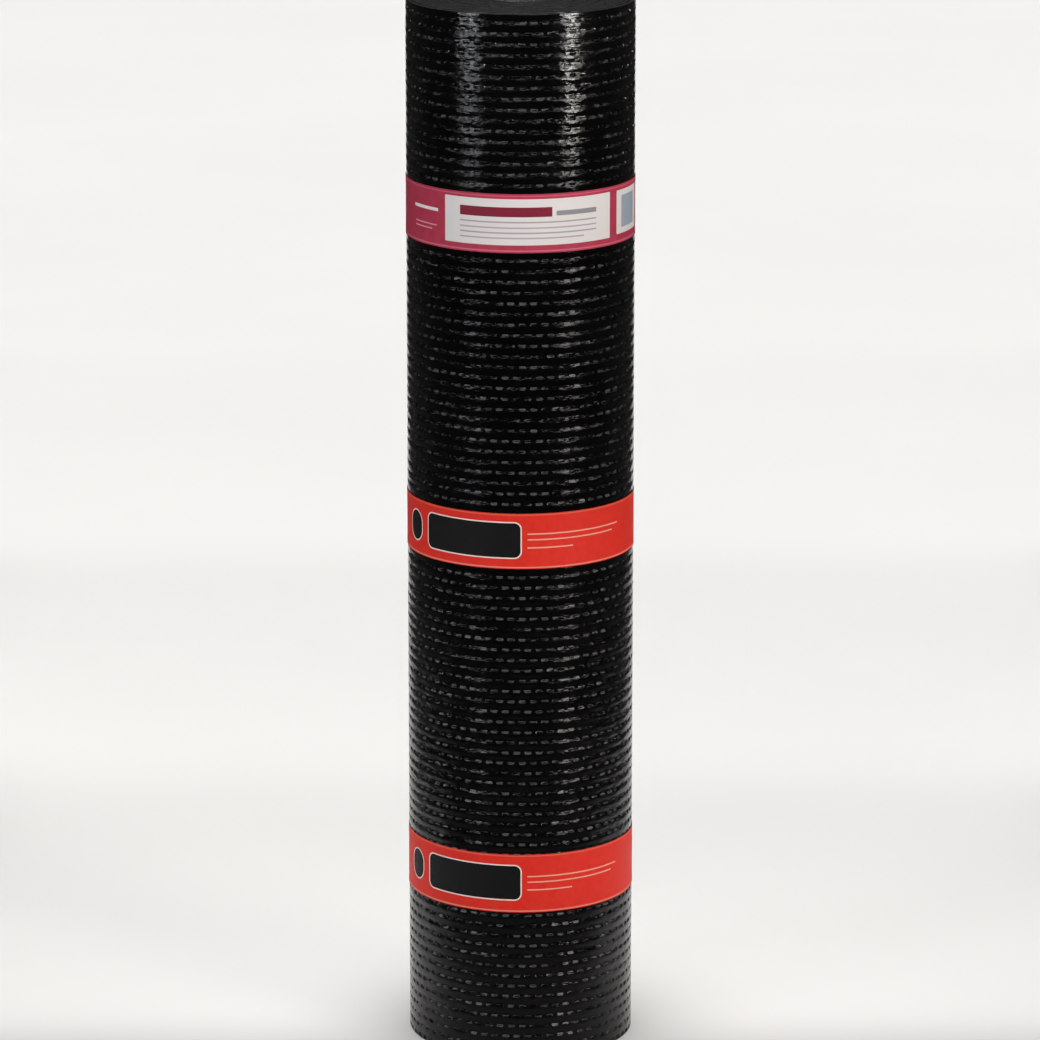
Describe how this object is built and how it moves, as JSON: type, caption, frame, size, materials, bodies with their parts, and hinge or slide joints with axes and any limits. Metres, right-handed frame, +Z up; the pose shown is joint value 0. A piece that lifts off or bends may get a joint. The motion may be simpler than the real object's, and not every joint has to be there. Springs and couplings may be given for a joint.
{
  "type": "roll of roofing felt",
  "caption": "Roll of bituminous roofing felt, stored standing on its end: spiral-wound turns around an open bore, held shut by printed paper bands.",
  "frame": {"origin": "on the bore's axis at the roll's lower end, on the surface that it stands on", "axes": "+Z up along the roll's axis; -Y to the front, where the bands carry their print; the lap of the felt's outer end is at the back"},
  "size_m": [0.2142, 0.2113, 1],
  "materials": {
    "felt": "semi-gloss embossed film over bitumen",
    "crimson_paper": "printed paper",
    "orange_paper": "printed paper"
  },
  "bodies": {
    "root": {"felt_roll": "felt", "upper_label_band": "crimson_paper", "middle_label_band": "orange_paper", "lower_label_band": "orange_paper"}
  },
  "joints": []
}
